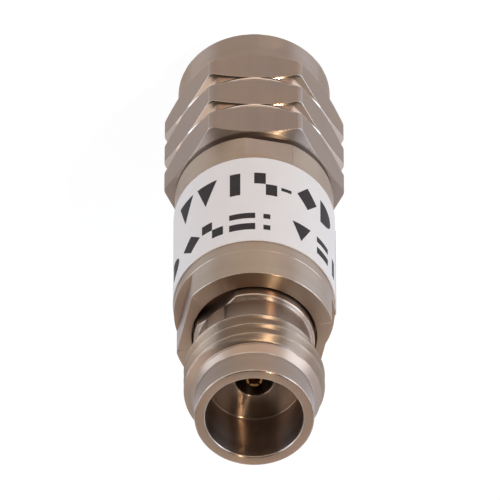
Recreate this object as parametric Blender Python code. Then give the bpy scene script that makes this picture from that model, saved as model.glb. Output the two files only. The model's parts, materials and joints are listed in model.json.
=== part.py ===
"""A precision coaxial fixed attenuator, standing on its coupling nut.

The axis is Z. Height 0 is the front face of the coupling nut, at the male end, and the female
connector's face is the top. The pieces are turned about Z and screwed together:

    coupling nut, held on the male shell by a split ring, so that it turns and floats
    male shell, bead, bush, pin and chip contact
    body shell with the chip carrier, its chip and a spring washer inside
    female shell, bead, bush, socket and chip contact

Lengths are in metres and angles in degrees.
"""

import math

import bmesh
import bpy
from mathutils import Matrix

# Driving sizes

# Fits. A running fit lets a piece turn or slide, a seat fit lies between pieces pressed together.
RUNNING_FIT = 0.00006
SEAT_FIT = 0.00002
EDGE_BREAK = 0.00005
FINE_BREAK = 0.00003

# Lengths along the axis, from the male end to the female end.
NUT_LENGTH = 0.00840
NUT_BODY_GAP = 0.00049
BODY_LENGTH = 0.01114
FEMALE_REACH = 0.00651

# Coupling nut: a hexagon whose corners are turned round, cut by grooves into three bands.
NUT_ACROSS_FLATS = 0.00785
NUT_TURN = -1.5
NUT_CORNER_DIAMETER = 0.00894
NUT_COLLAR_DIAMETER = 0.00760
NUT_COLLAR_LENGTH = 0.00185
NUT_REAR_DIAMETER = 0.00780
NUT_REAR_CHAMFER = 0.00032
BAND_PITCH = 0.00225
BAND_GROOVES = 2
GROOVE_DEPTH = 0.00056
GROOVE_STEEP_RUN = 0.00027
GROOVE_GENTLE_RUN = 0.00065
NUT_THREAD_MINOR = 0.00619
NUT_THREAD_MAJOR = 0.00700
NUT_THREAD_LENGTH = 0.00400
NUT_RELIEF_LENGTH = 0.00070
NUT_FLOAT = 0.00040

# Split ring that ties the nut to the male shell. Its setback is measured from the nut's rear face.
RING_SETBACK = 0.00172
RING_THICKNESS = 0.00050
RING_INNER_DIAMETER = 0.00524
RING_OUTER_DIAMETER = 0.00684
RING_SLOT = 0.00120
RING_GROOVE_DIAMETER = 0.00500

# Male shell: the plug that enters the other connector, and the shank that carries the nut.
PLUG_RECESS = 0.00130
PLUG_DIAMETER = 0.00475
PLUG_LENGTH = 0.00360
SHANK_DIAMETER = 0.00600
SHANK_SEAT_DEPTH = 0.00048

# Tails of both shells, which screw into the body's bore.
TAIL_DIAMETER = 0.00500
MALE_TAIL_LENGTH = 0.00280
FEMALE_TAIL_LENGTH = 0.00230

# Body shell.
BODY_DIAMETER = 0.00788
BODY_RECESS_DIAMETER = 0.00612
BODY_RECESS_DEPTH = 0.00076
UPPER_ACROSS_FLATS = 0.00700
UPPER_FLAT_LENGTH = 0.00180
UPPER_FLAT_ANGLE = 167.0
LOWER_ACROSS_FLATS = 0.00752
LOWER_FLAT_LENGTH = 0.00135
LOWER_FLAT_ANGLE = 78.5
SCRIBED_LINE_WIDTH = 0.00010
SCRIBED_LINE_DEPTH = 0.00002

# Wrapped label.
LABEL_THICKNESS = 0.00004
LABEL_WIDTH = 0.00678
LABEL_HEIGHT_ON_BODY = 0.00180
LABEL_SEAM = 0.00025
LABEL_SEAM_ANGLE = 174.0

# Female shell.
COUNTERBORE_DIAMETER = 0.00477
COUNTERBORE_DEPTH = 0.00300
PILOT_DIAMETER = 0.00584
PILOT_LENGTH = 0.00142
THREAD_DIAMETER = 0.00692
THREAD_LENGTH = 0.00238
THREAD_LEAD = 0.00073
UNDERCUT_DIAMETER = 0.00562
COLLAR_DIAMETER = 0.00594
COLLAR_REACH = 0.00082
COLLAR_ACROSS_FLATS = 0.00536
COLLAR_FLAT_ANGLE = 133.0

# Coaxial line: its bore, its conductor and the beads that hold the conductor.
LINE_BORE = 0.00185
CONDUCTOR_DIAMETER = 0.000804
CONDUCTOR_RECESS = 0.00003
PIN_DIAMETER = 0.000511
PIN_REACH = 0.00110
PIN_TIP_LENGTH = 0.00025
PIN_TIP_DIAMETER = 0.00022
BEAD_DIAMETER = 0.00316
BEAD_THICKNESS = 0.00080
BEAD_BORE = 0.00070
MALE_BEAD_DEPTH = 0.00430
FEMALE_BEAD_DEPTH = 0.00376
STUD_DIAMETER = 0.00040
STUD_LENGTH = 0.00100
SOCKET_BORE = 0.00054
SOCKET_DEPTH = 0.00150
SOCKET_MOUTH = 0.00062
SOCKET_SLOT_WIDTH = 0.00010
SOCKET_SLOT_DEPTH = 0.00130

# Chip, its carrier and what clamps it.
CHIP_WIDTH = 0.00200
CHIP_THICKNESS = 0.000254
CHIP_END_GAP = 0.00015
STRIP_WIDTH = 0.00035
STRIP_THICKNESS = 0.00005
CHANNEL_WIDTH = 0.00120
CHANNEL_HEIGHT = 0.00130
FORK_REACH = 0.00055
FORK_SLOT_DEPTH = 0.00045
DOWEL_DIAMETER = 0.00040
DOWEL_LENGTH = 0.00160
DOWEL_SPACING = 0.00350
WASHER_INNER_DIAMETER = 0.00340
WASHER_THICKNESS = 0.00012
WASHER_RISE = 0.00014

# Steps round the large turned pieces and round the small inner ones.
OUTER_STEPS = 64
INNER_STEPS = 32
HEXAGON_STEPS = 6
SMOOTH_ANGLE = 15.0
WELD = 1e-8
CUT_MARGIN = 0.0010

# Heights that follow from them

BODY_BOTTOM = NUT_LENGTH + NUT_BODY_GAP
BODY_TOP = BODY_BOTTOM + BODY_LENGTH
FEMALE_FACE = BODY_TOP + FEMALE_REACH

SHANK_TOP = BODY_BOTTOM + SHANK_SEAT_DEPTH - SEAT_FIT
MALE_TAIL_TOP = SHANK_TOP + MALE_TAIL_LENGTH
COLLAR_BOTTOM = BODY_TOP - BODY_RECESS_DEPTH + SEAT_FIT
COLLAR_TOP = BODY_TOP + COLLAR_REACH
FEMALE_TAIL_BOTTOM = COLLAR_BOTTOM - FEMALE_TAIL_LENGTH
COUNTERBORE_FLOOR = FEMALE_FACE - COUNTERBORE_DEPTH

RING_HEIGHT = NUT_LENGTH - RING_SETBACK
RING_TOP = RING_HEIGHT + SEAT_FIT + RING_THICKNESS
MALE_BEAD_BOTTOM = PLUG_RECESS + MALE_BEAD_DEPTH
MALE_BEAD_TOP = MALE_BEAD_BOTTOM + BEAD_THICKNESS
FEMALE_BEAD_TOP = COUNTERBORE_FLOOR - FEMALE_BEAD_DEPTH
FEMALE_BEAD_BOTTOM = FEMALE_BEAD_TOP - BEAD_THICKNESS

CARRIER_BOTTOM = MALE_TAIL_TOP + SEAT_FIT
WASHER_BOTTOM = FEMALE_TAIL_BOTTOM - SEAT_FIT - WASHER_THICKNESS - WASHER_RISE
CARRIER_TOP = WASHER_BOTTOM - SEAT_FIT
CHIP_BOTTOM = CARRIER_BOTTOM + CHIP_END_GAP
CHIP_TOP = CARRIER_TOP - CHIP_END_GAP

# Finishes

# Base colour, roughness, metallic.
STAINLESS = ((0.56, 0.50, 0.45), 0.30, 1.0)
SPRING_STEEL = ((0.45, 0.43, 0.42), 0.35, 1.0)
GOLD_PLATE = ((0.95, 0.72, 0.35), 0.25, 1.0)
POLYMER = ((0.80, 0.76, 0.66), 0.50, 0.0)
ALUMINA = ((0.90, 0.89, 0.85), 0.45, 0.0)
LABEL_FILM = ((0.82, 0.80, 0.78), 0.55, 0.0)


def finish(name, look):
    """A material named after its piece."""
    colour, roughness, metallic = look
    material = bpy.data.materials.new(name)
    material.use_nodes = True
    shader = material.node_tree.nodes["Principled BSDF"]
    shader.inputs["Base Color"].default_value = (*colour, 1.0)
    shader.inputs["Roughness"].default_value = roughness
    shader.inputs["Metallic"].default_value = metallic
    return material


# Ways of making a piece


def clear_scene():
    for item in list(bpy.data.objects):
        bpy.data.objects.remove(item)


def add_piece(name, work, look, height=0.0):
    """Turn an edited mesh into a named object whose origin is on the axis, at this height."""
    bmesh.ops.recalc_face_normals(work, faces=work.faces)
    mesh = bpy.data.meshes.new(name)
    work.to_mesh(mesh)
    work.free()
    piece = bpy.data.objects.new(name, mesh)
    bpy.context.scene.collection.objects.link(piece)
    piece.location = (0.0, 0.0, height)
    mesh.shade_smooth()
    mesh.set_sharp_from_angle(angle=math.radians(SMOOTH_ANGLE))
    if look:
        mesh.materials.append(finish(name, look))
    return piece


def turned(outline, steps):
    """Spin an outline of (radius, height) points once round Z. One that touches the axis is solid."""
    work = bmesh.new()
    points = [work.verts.new((radius, 0.0, height)) for radius, height in outline]
    reaches_axis = outline[0][0] == 0.0 and outline[-1][0] == 0.0
    pairs = list(zip(points, points[1:]))
    if not reaches_axis:
        pairs.append((points[-1], points[0]))
    edges = [work.edges.new(pair) for pair in pairs]
    bmesh.ops.spin(
        work,
        geom=points + edges,
        axis=(0.0, 0.0, 1.0),
        cent=(0.0, 0.0, 0.0),
        angle=math.tau,
        steps=steps,
        use_merge=True,
    )
    bmesh.ops.remove_doubles(work, verts=work.verts, dist=WELD)
    return work


def tube(inner, outer, bottom, top):
    """Outline of a plain tube, from its two diameters and its two heights."""
    return [(inner / 2, bottom), (outer / 2, bottom), (outer / 2, top), (inner / 2, top)]


def swung(work, angle):
    """Swing an edited mesh round the axis."""
    swing = Matrix.Rotation(math.radians(angle), 3, "Z")
    bmesh.ops.rotate(work, verts=work.verts, cent=(0.0, 0.0, 0.0), matrix=swing)
    return work


def block(size, centre, angle=0.0):
    """A box of this size, moved to its centre and then swung round the axis by the angle."""
    work = bmesh.new()
    bmesh.ops.create_cube(work, size=1.0)
    bmesh.ops.scale(work, vec=size, verts=work.verts)
    bmesh.ops.translate(work, vec=centre, verts=work.verts)
    return swung(work, angle)


def cross_rod(diameter, length, centre, steps):
    """A round rod lying along Y."""
    work = bmesh.new()
    bmesh.ops.create_cone(
        work,
        cap_ends=True,
        segments=steps,
        radius1=diameter / 2,
        radius2=diameter / 2,
        depth=length,
    )
    lay_down = Matrix.Rotation(math.radians(90.0), 3, "X")
    bmesh.ops.rotate(work, verts=work.verts, cent=(0.0, 0.0, 0.0), matrix=lay_down)
    bmesh.ops.translate(work, vec=centre, verts=work.verts)
    return work


def shape_with(piece, name, work, operation="DIFFERENCE"):
    """Cut the piece with a guide body, or keep what both share. The guide isn't a piece."""
    guide = add_piece(name, work, None)
    guide.hide_render = True
    guide.display_type = "WIRE"
    step = piece.modifiers.new(name, "BOOLEAN")
    step.operation = operation
    step.solver = "EXACT"
    step.object = guide
    return guide


def cut_flats(piece, name, across, round_diameter, bottom, top, angle):
    """Mill a pair of wrench flats, whose planes face this angle and its opposite."""
    depth = (round_diameter - across) / 2 + CUT_MARGIN
    size = (depth, round_diameter + CUT_MARGIN, top - bottom)
    for side, swing in (("a", angle), ("b", angle + 180.0)):
        centre = (across / 2 + depth / 2, 0.0, (bottom + top) / 2)
        shape_with(piece, f"{name}_{side}", block(size, centre, swing))


# Coupling nut and its ring


def nut_outside():
    """The nut's turned outside, from its front face up to its rear face."""
    corner = NUT_CORNER_DIAMETER / 2
    collar = NUT_COLLAR_DIAMETER / 2
    rear = NUT_REAR_DIAMETER / 2
    outline = [
        (collar - EDGE_BREAK, 0.0),
        (collar, EDGE_BREAK),
        (collar, NUT_COLLAR_LENGTH),
        (corner, NUT_COLLAR_LENGTH + corner - collar),
    ]
    for groove in range(BAND_GROOVES, 0, -1):
        floor = NUT_LENGTH - groove * BAND_PITCH
        outline += [
            (corner, floor - GROOVE_STEEP_RUN),
            (corner - GROOVE_DEPTH, floor),
            (corner, floor + GROOVE_GENTLE_RUN),
        ]
    outline += [(corner, NUT_LENGTH - NUT_REAR_CHAMFER), (rear, NUT_LENGTH)]
    return outline


def nut_inside():
    """The nut's bore, from its rear face down to its front face."""
    land = SHANK_DIAMETER / 2 + RUNNING_FIT
    minor = NUT_THREAD_MINOR / 2
    major = NUT_THREAD_MAJOR / 2
    ring_groove = RING_OUTER_DIAMETER / 2 + RUNNING_FIT
    ring_groove_top = RING_TOP + RUNNING_FIT
    relief_top = NUT_THREAD_LENGTH + NUT_RELIEF_LENGTH
    mouth = major + FINE_BREAK
    return [
        (land + EDGE_BREAK, NUT_LENGTH),
        (land, NUT_LENGTH - EDGE_BREAK),
        (land, ring_groove_top),
        (ring_groove, ring_groove_top),
        (ring_groove, RING_HEIGHT),
        (land, RING_HEIGHT),
        (land, relief_top),
        (major, relief_top),
        (major, NUT_THREAD_LENGTH),
        (minor, NUT_THREAD_LENGTH - (major - minor)),
        (minor, mouth - minor),
        (mouth, 0.0),
    ]


def coupling_nut():
    outline = nut_outside() + nut_inside()
    nut = add_piece("coupling_nut", turned(outline, OUTER_STEPS), STAINLESS)
    corner_to_centre = NUT_ACROSS_FLATS / math.sqrt(3.0)
    hexagon = [
        (0.0, -CUT_MARGIN),
        (corner_to_centre, -CUT_MARGIN),
        (corner_to_centre, NUT_LENGTH + CUT_MARGIN),
        (0.0, NUT_LENGTH + CUT_MARGIN),
    ]
    guide = swung(turned(hexagon, HEXAGON_STEPS), NUT_TURN)
    shape_with(nut, "nut_hexagon", guide, "INTERSECT")
    return nut


def nut_retaining_ring():
    """A flat spring ring, split so that it can be closed and pushed into the nut."""
    outline = tube(RING_INNER_DIAMETER, RING_OUTER_DIAMETER, 0.0, RING_THICKNESS)
    ring = add_piece(
        "nut_retaining_ring",
        turned(outline, OUTER_STEPS),
        SPRING_STEEL,
        RING_HEIGHT + SEAT_FIT,
    )
    reach = RING_OUTER_DIAMETER
    size = (reach, RING_SLOT, RING_THICKNESS + CUT_MARGIN)
    centre = (reach / 2, 0.0, RING_HEIGHT + RING_THICKNESS / 2)
    shape_with(ring, "ring_split", block(size, centre))
    return ring


# Shells


def male_shell():
    """Plug, grooved shank and tail, with the line's bore and the pocket for bead and bush."""
    plug = PLUG_DIAMETER / 2
    shank = SHANK_DIAMETER / 2
    tail = TAIL_DIAMETER / 2 - SEAT_FIT
    bore = LINE_BORE / 2
    pocket = BEAD_DIAMETER / 2 + SEAT_FIT
    shoulder = PLUG_RECESS + PLUG_LENGTH
    groove_floor = RING_GROOVE_DIAMETER / 2
    groove_bottom = RING_HEIGHT - NUT_FLOAT
    groove_top = RING_TOP + SEAT_FIT
    outline = [
        (bore + FINE_BREAK, PLUG_RECESS),
        (plug - EDGE_BREAK, PLUG_RECESS),
        (plug, PLUG_RECESS + EDGE_BREAK),
        (plug, shoulder),
        (shank - EDGE_BREAK, shoulder),
        (shank, shoulder + EDGE_BREAK),
        (shank, groove_bottom),
        (groove_floor, groove_bottom),
        (groove_floor, groove_top),
        (shank, groove_top),
        (shank, SHANK_TOP),
        (tail, SHANK_TOP),
        (tail, MALE_TAIL_TOP - EDGE_BREAK),
        (tail - EDGE_BREAK, MALE_TAIL_TOP),
        (pocket, MALE_TAIL_TOP),
        (pocket, MALE_BEAD_BOTTOM - SEAT_FIT),
        (bore, MALE_BEAD_BOTTOM - SEAT_FIT),
        (bore, PLUG_RECESS + FINE_BREAK),
    ]
    return add_piece("male_shell", turned(outline, OUTER_STEPS), STAINLESS)


def female_shell():
    """Threaded nose with its counterbore, flatted collar and tail."""
    counterbore = COUNTERBORE_DIAMETER / 2
    pilot = PILOT_DIAMETER / 2
    thread = THREAD_DIAMETER / 2
    undercut = UNDERCUT_DIAMETER / 2
    collar = COLLAR_DIAMETER / 2
    tail = TAIL_DIAMETER / 2 - SEAT_FIT
    bore = LINE_BORE / 2
    pocket = BEAD_DIAMETER / 2 + SEAT_FIT
    thread_top = FEMALE_FACE - PILOT_LENGTH
    thread_bottom = thread_top - THREAD_LENGTH
    outline = [
        (tail - EDGE_BREAK, FEMALE_TAIL_BOTTOM),
        (tail, FEMALE_TAIL_BOTTOM + EDGE_BREAK),
        (tail, COLLAR_BOTTOM),
        (collar, COLLAR_BOTTOM),
        (collar, COLLAR_TOP - EDGE_BREAK),
        (collar - EDGE_BREAK, COLLAR_TOP),
        (undercut, COLLAR_TOP),
        (undercut, thread_bottom - (thread - undercut) / 2),
        (thread, thread_bottom),
        (thread, thread_top - THREAD_LEAD),
        (pilot, thread_top),
        (pilot, FEMALE_FACE - EDGE_BREAK),
        (pilot - EDGE_BREAK, FEMALE_FACE),
        (counterbore + FINE_BREAK, FEMALE_FACE),
        (counterbore, FEMALE_FACE - FINE_BREAK),
        (counterbore, COUNTERBORE_FLOOR),
        (bore + FINE_BREAK, COUNTERBORE_FLOOR),
        (bore, COUNTERBORE_FLOOR - FINE_BREAK),
        (bore, FEMALE_BEAD_TOP + SEAT_FIT),
        (pocket, FEMALE_BEAD_TOP + SEAT_FIT),
        (pocket, FEMALE_TAIL_BOTTOM),
    ]
    shell = add_piece("female_shell", turned(outline, OUTER_STEPS), STAINLESS)
    cut_flats(
        shell,
        "collar_flat",
        COLLAR_ACROSS_FLATS,
        COLLAR_DIAMETER,
        (COLLAR_BOTTOM + FEMALE_TAIL_BOTTOM) / 2,
        COLLAR_TOP + EDGE_BREAK,
        COLLAR_FLAT_ANGLE,
    )
    return shell


def body_shell():
    """The outer sleeve: a bore for both tails, a seat at each end and two pairs of flats."""
    outside = BODY_DIAMETER / 2
    bore = TAIL_DIAMETER / 2
    recess = BODY_RECESS_DIAMETER / 2
    shank_seat = SHANK_DIAMETER / 2 + SEAT_FIT
    line = BODY_TOP - UPPER_FLAT_LENGTH
    outline = [
        (outside - EDGE_BREAK, BODY_BOTTOM),
        (outside, BODY_BOTTOM + EDGE_BREAK),
        (outside, line - SCRIBED_LINE_WIDTH / 2),
        (outside - SCRIBED_LINE_DEPTH, line),
        (outside, line + SCRIBED_LINE_WIDTH / 2),
        (outside, BODY_TOP - EDGE_BREAK),
        (outside - EDGE_BREAK, BODY_TOP),
        (recess, BODY_TOP),
        (recess, BODY_TOP - BODY_RECESS_DEPTH),
        (bore, BODY_TOP - BODY_RECESS_DEPTH),
        (bore, BODY_BOTTOM + SHANK_SEAT_DEPTH),
        (shank_seat, BODY_BOTTOM + SHANK_SEAT_DEPTH),
        (shank_seat, BODY_BOTTOM),
    ]
    shell = add_piece("body_shell", turned(outline, OUTER_STEPS), STAINLESS)
    cut_flats(
        shell,
        "upper_flat",
        UPPER_ACROSS_FLATS,
        BODY_DIAMETER,
        line,
        BODY_TOP + CUT_MARGIN,
        UPPER_FLAT_ANGLE,
    )
    cut_flats(
        shell,
        "lower_flat",
        LOWER_ACROSS_FLATS,
        BODY_DIAMETER,
        BODY_BOTTOM - CUT_MARGIN,
        BODY_BOTTOM + LOWER_FLAT_LENGTH,
        LOWER_FLAT_ANGLE,
    )
    return shell


def label():
    """A thin film wrapped round the body, whose two ends nearly meet."""
    inner = BODY_DIAMETER + 2 * SEAT_FIT
    outer = inner + 2 * LABEL_THICKNESS
    height = BODY_BOTTOM + LABEL_HEIGHT_ON_BODY
    outline = tube(inner, outer, 0.0, LABEL_WIDTH)
    film = add_piece("label", turned(outline, OUTER_STEPS), LABEL_FILM, height)
    size = (CUT_MARGIN, LABEL_SEAM, LABEL_WIDTH + CUT_MARGIN)
    centre = (inner / 2, 0.0, height + LABEL_WIDTH / 2)
    shape_with(film, "label_seam", block(size, centre, LABEL_SEAM_ANGLE))
    return film


# Coaxial line


def bead(name, bottom):
    """A plastic washer that centres the conductor in its bore."""
    outline = tube(BEAD_BORE, BEAD_DIAMETER, 0.0, BEAD_THICKNESS)
    return add_piece(name, turned(outline, INNER_STEPS), POLYMER, bottom)


def bead_bush(name, bottom, top):
    """The sleeve behind a bead, which holds it in the shell and carries on the line's bore."""
    outline = tube(LINE_BORE, BEAD_DIAMETER, 0.0, top - bottom)
    return add_piece(name, turned(outline, INNER_STEPS), STAINLESS, bottom)


def bead_neck():
    return BEAD_BORE / 2 - SEAT_FIT


def male_pin():
    """Pin, conductor, neck through the bead, and the stud that the chip contact screws onto."""
    conductor = CONDUCTOR_DIAMETER / 2
    pin = PIN_DIAMETER / 2
    stud = STUD_DIAMETER / 2
    shoulder = PLUG_RECESS + CONDUCTOR_RECESS
    tip = PLUG_RECESS - PIN_REACH
    outline = [
        (0.0, tip),
        (PIN_TIP_DIAMETER / 2, tip),
        (pin, tip + PIN_TIP_LENGTH),
        (pin, shoulder),
        (conductor, shoulder),
        (conductor, MALE_BEAD_BOTTOM - SEAT_FIT),
        (bead_neck(), MALE_BEAD_BOTTOM - SEAT_FIT),
        (bead_neck(), MALE_BEAD_TOP),
        (stud, MALE_BEAD_TOP),
        (stud, MALE_BEAD_TOP + STUD_LENGTH),
        (0.0, MALE_BEAD_TOP + STUD_LENGTH),
    ]
    return add_piece("male_pin", turned(outline, INNER_STEPS), GOLD_PLATE)


def female_socket():
    """The slotted socket that grips a pin, with its neck through the bead and its stud."""
    conductor = CONDUCTOR_DIAMETER / 2
    stud = STUD_DIAMETER / 2
    hole = SOCKET_BORE / 2
    mouth = SOCKET_MOUTH / 2
    top = COUNTERBORE_FLOOR - CONDUCTOR_RECESS
    outline = [
        (0.0, FEMALE_BEAD_BOTTOM - STUD_LENGTH),
        (stud, FEMALE_BEAD_BOTTOM - STUD_LENGTH),
        (stud, FEMALE_BEAD_BOTTOM),
        (bead_neck(), FEMALE_BEAD_BOTTOM),
        (bead_neck(), FEMALE_BEAD_TOP + SEAT_FIT),
        (conductor, FEMALE_BEAD_TOP + SEAT_FIT),
        (conductor, top - FINE_BREAK),
        (conductor - FINE_BREAK, top),
        (mouth, top),
        (hole, top - (mouth - hole)),
        (hole, top - SOCKET_DEPTH),
        (0.0, top - SOCKET_DEPTH),
    ]
    socket = add_piece("female_socket", turned(outline, INNER_STEPS), GOLD_PLATE)
    size = (CONDUCTOR_DIAMETER * 2, SOCKET_SLOT_WIDTH, SOCKET_SLOT_DEPTH * 2)
    for number, swing in ((1, 45.0), (2, 135.0)):
        work = block(size, (0.0, 0.0, top), swing)
        shape_with(socket, f"socket_slot_{number}", work)
    return socket


def chip_contact(name, bead_end, fork_end):
    """A conductor screwed onto a stud. Its far end is forked and grips the edge of the chip."""
    way = math.copysign(1.0, fork_end - bead_end)
    conductor = CONDUCTOR_DIAMETER / 2
    hole = STUD_DIAMETER / 2 + SEAT_FIT
    start = bead_end + way * SEAT_FIT
    hole_end = bead_end + way * (STUD_LENGTH + RUNNING_FIT)
    outline = [
        (0.0, hole_end),
        (hole, hole_end),
        (hole, start),
        (conductor, start),
        (conductor, fork_end),
        (0.0, fork_end),
    ]
    contact = add_piece(name, turned(outline, INNER_STEPS), GOLD_PLATE)
    slot = CHIP_THICKNESS + 2 * SEAT_FIT
    size = (CONDUCTOR_DIAMETER * 2, slot, FORK_SLOT_DEPTH * 2)
    shape_with(contact, f"{name}_fork", block(size, (0.0, 0.0, fork_end)))
    return contact


# Chip and carrier


def chip_carrier(name, side, pocket_depth):
    """Half of the split cylinder that clamps the chip. Side is 1 for +Y and -1 for -Y."""
    length = CARRIER_TOP - CARRIER_BOTTOM
    middle = (CARRIER_TOP + CARRIER_BOTTOM) / 2
    radius = TAIL_DIAMETER / 2 - SEAT_FIT
    outline = [(0.0, 0.0), (radius, 0.0), (radius, length), (0.0, length)]
    carrier = add_piece(name, turned(outline, OUTER_STEPS), STAINLESS, CARRIER_BOTTOM)
    tall = length + CUT_MARGIN
    wide = TAIL_DIAMETER + CUT_MARGIN
    keep = block((wide, wide, tall), (0.0, side * (wide / 2 + SEAT_FIT / 2), middle))
    shape_with(carrier, f"{name}_half", keep, "INTERSECT")
    pocket = block((CHIP_WIDTH + 2 * SEAT_FIT, 2 * pocket_depth, tall), (0.0, 0.0, middle))
    shape_with(carrier, f"{name}_pocket", pocket)
    channel = block((CHANNEL_WIDTH, CHANNEL_HEIGHT, tall), (0.0, 0.0, middle))
    shape_with(carrier, f"{name}_channel", channel)
    for number, place in ((1, -DOWEL_SPACING / 2), (2, DOWEL_SPACING / 2)):
        hole = DOWEL_DIAMETER + 2 * SEAT_FIT
        rod = cross_rod(hole, DOWEL_LENGTH + 2 * SEAT_FIT, (place, 0.0, middle), INNER_STEPS)
        shape_with(carrier, f"{name}_hole_{number}", rod)
    return carrier


def chip_stack():
    """The chip, the two ground strips on it, the carrier halves and the dowels between them."""
    face = CHIP_THICKNESS / 2 + SEAT_FIT
    chip_carrier("chip_carrier_back", 1.0, face + STRIP_THICKNESS + SEAT_FIT)
    chip_carrier("chip_carrier_front", -1.0, face)
    length = CHIP_TOP - CHIP_BOTTOM
    middle = (CHIP_TOP + CHIP_BOTTOM) / 2
    plate = block((CHIP_WIDTH, CHIP_THICKNESS, length), (0.0, 0.0, 0.0))
    add_piece("attenuator_chip", plate, ALUMINA, middle)
    strip_place = (CHIP_WIDTH - STRIP_WIDTH) / 2
    for name, side in (("ground_strip_left", -1.0), ("ground_strip_right", 1.0)):
        centre = (side * strip_place, face + STRIP_THICKNESS / 2, 0.0)
        strip = block((STRIP_WIDTH, STRIP_THICKNESS, length), centre)
        add_piece(name, strip, GOLD_PLATE, middle)
    for name, place in (("dowel_left", -DOWEL_SPACING / 2), ("dowel_right", DOWEL_SPACING / 2)):
        rod = cross_rod(DOWEL_DIAMETER, DOWEL_LENGTH, (place, 0.0, 0.0), INNER_STEPS)
        add_piece(name, rod, SPRING_STEEL, (CARRIER_TOP + CARRIER_BOTTOM) / 2)


def spring_washer():
    """A coned washer that keeps the carrier pressed against the male shell's tail."""
    inner = WASHER_INNER_DIAMETER / 2
    outer = TAIL_DIAMETER / 2 - RUNNING_FIT
    outline = [
        (inner, WASHER_RISE),
        (outer, 0.0),
        (outer, WASHER_THICKNESS),
        (inner, WASHER_RISE + WASHER_THICKNESS),
    ]
    return add_piece("spring_washer", turned(outline, INNER_STEPS), SPRING_STEEL, WASHER_BOTTOM)


# The whole part


def build():
    clear_scene()
    coupling_nut()
    nut_retaining_ring()
    male_shell()
    bead("male_bead", MALE_BEAD_BOTTOM)
    bead_bush("male_bead_bush", MALE_BEAD_TOP + SEAT_FIT, MALE_TAIL_TOP)
    male_pin()
    chip_contact("male_chip_contact", MALE_BEAD_TOP, CARRIER_BOTTOM + FORK_REACH)
    body_shell()
    label()
    chip_stack()
    spring_washer()
    female_shell()
    bead("female_bead", FEMALE_BEAD_BOTTOM)
    bead_bush("female_bead_bush", FEMALE_TAIL_BOTTOM, FEMALE_BEAD_BOTTOM - SEAT_FIT)
    female_socket()
    chip_contact("female_chip_contact", FEMALE_BEAD_BOTTOM, CARRIER_TOP - FORK_REACH)


build()
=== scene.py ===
# %% [markdown]
# # A coaxial attenuator, dressed for its portrait
#
# The part is 26 mm long and made almost wholly of turned stainless steel. At one end is a threaded nose
# with a deep counterbore. At the other a hexagonal coupling nut, cut by two grooves, hangs loose on its
# ring. A white label is wrapped round the middle.
#
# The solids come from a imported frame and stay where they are. This script gives them their surface: finer
# meshes with rounded edges and real threads where the solids are faceted, and a finish for every piece.
#
# Metal shows little of its own. It shows what stands round it, bent by its shape. So three things decide
# this picture: edges that are really rounded, marks that run the way the tool ran, and lights placed where
# the metal can see them.

# %% Load the frame
import math
import json

import bpy
import bmesh
from mathutils import Matrix, Vector


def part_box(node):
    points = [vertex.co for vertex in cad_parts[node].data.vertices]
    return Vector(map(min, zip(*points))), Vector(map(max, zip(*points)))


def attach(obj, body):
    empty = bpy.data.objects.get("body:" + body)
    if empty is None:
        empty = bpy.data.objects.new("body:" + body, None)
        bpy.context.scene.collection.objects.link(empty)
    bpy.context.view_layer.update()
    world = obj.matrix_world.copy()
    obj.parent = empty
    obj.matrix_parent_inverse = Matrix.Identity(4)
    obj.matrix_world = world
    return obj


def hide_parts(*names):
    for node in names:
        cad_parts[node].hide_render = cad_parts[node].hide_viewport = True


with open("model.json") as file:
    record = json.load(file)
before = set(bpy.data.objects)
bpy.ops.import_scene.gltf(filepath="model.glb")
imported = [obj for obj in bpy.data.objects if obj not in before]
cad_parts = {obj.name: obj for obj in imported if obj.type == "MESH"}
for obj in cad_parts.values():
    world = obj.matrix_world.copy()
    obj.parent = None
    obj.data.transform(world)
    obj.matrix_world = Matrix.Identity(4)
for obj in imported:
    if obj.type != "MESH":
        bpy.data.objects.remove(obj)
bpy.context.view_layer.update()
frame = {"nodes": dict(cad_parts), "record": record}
node = frame["nodes"]
MM = 0.001

# %% [markdown]
# ## Sizes
#
# Heights and widths that a solid already has are read from the frame, so that the fine meshes follow if the
# solids change. What a solid's box can't say, such as the pitch of a thread or the depth of a groove, is
# written here once, in millimetres turned into metres.

# %% Heights and widths read from the frame
_, nut_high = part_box("coupling_nut")
body_low, body_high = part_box("body_shell")
female_low, female_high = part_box("female_shell")
male_low, male_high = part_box("male_shell")
label_low, label_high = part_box("label")
_, bead_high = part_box("female_bead")
male_bead_low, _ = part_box("male_bead")

NUT_REAR = nut_high.z
BODY_BOTTOM = body_low.z
BODY_TOP = body_high.z
FEMALE_FACE = female_high.z
FEMALE_TAIL = female_low.z
print("face at", round(FEMALE_FACE / MM, 3), "body", round(BODY_BOTTOM / MM, 3), round(BODY_TOP / MM, 3))

# %% Sizes that a box can't give
PITCH = 0.75 * MM
NOSE_PILOT = 5.84 * MM
NOSE_PILOT_LENGTH = 1.42 * MM
NOSE_LEAD = 0.73 * MM
NOSE_THREAD = 6.92 * MM
NOSE_THREAD_ROOT = 6.02 * MM
NOSE_THREAD_LENGTH = 2.38 * MM
NOSE_CREST_DEPTH = 2.15 * MM
NOSE_UNDERCUT = 5.54 * MM
COUNTERBORE = 4.77 * MM
COUNTERBORE_DEPTH = 3.00 * MM
COLLAR = 5.94 * MM
COLLAR_REACH = 0.58 * MM
COLLAR_CHAMFER = (0.2 * MM, 0.15 * MM)
COLLAR_CORNER = 0.12 * MM
FACE_EDGE = 0.09 * MM
COLLAR_ACROSS_FLATS = 5.36 * MM
COLLAR_FLAT_ANGLE = 133.0
LINE_BORE = 1.85 * MM
TAIL = 4.96 * MM
BEAD_POCKET = 3.20 * MM

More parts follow.
